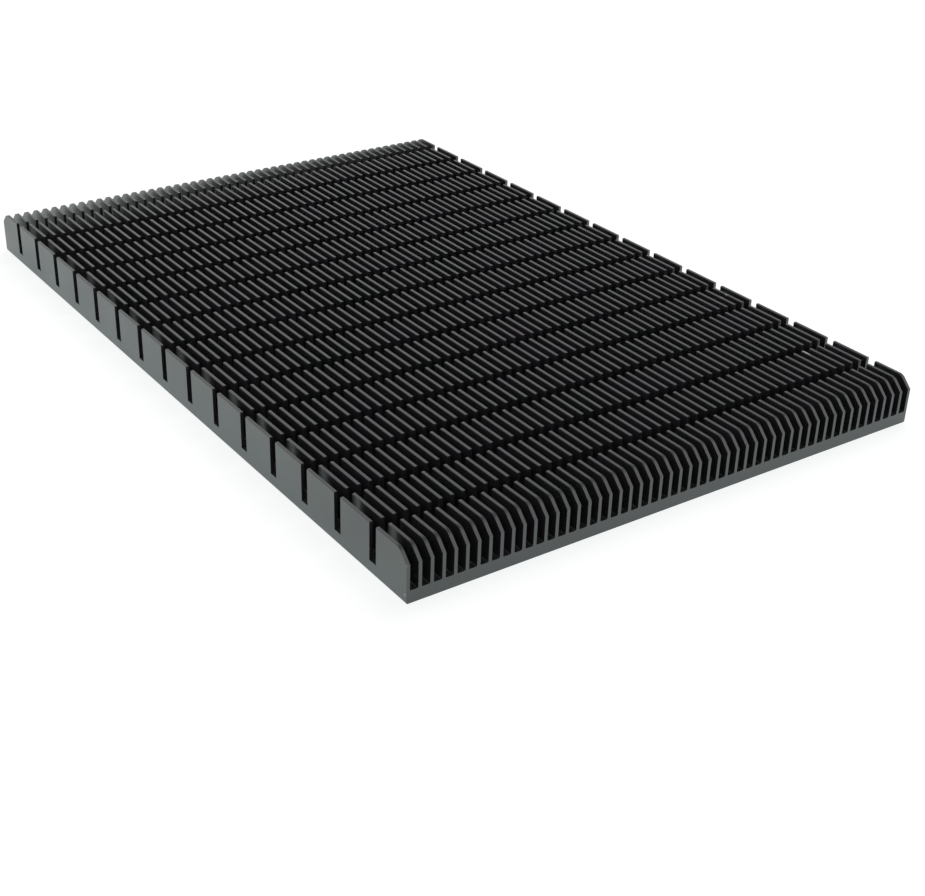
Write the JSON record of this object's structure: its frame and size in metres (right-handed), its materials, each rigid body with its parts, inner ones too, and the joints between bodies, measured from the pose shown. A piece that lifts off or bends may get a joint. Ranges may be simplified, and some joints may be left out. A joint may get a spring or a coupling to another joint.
{
  "type": "extruded heat sink",
  "caption": "Flat black anodised aluminium heat sink: an extruded comb of thin fins, cross cut into rows of pins, with chamfered fin ends and a flat underside.",
  "frame": {"origin": "middle of the flat underside of the base plate", "axes": "+Y along the fins, +X across the fins, +Z from the underside up to the fin tips"},
  "size_m": [0.15, 0.2246, 0.0123],
  "materials": {
    "black_anodised_aluminium": "black anodised, satin, with a few nicks down to bare metal"
  },
  "bodies": {
    "root": {"heat_sink": "black_anodised_aluminium"}
  },
  "joints": []
}
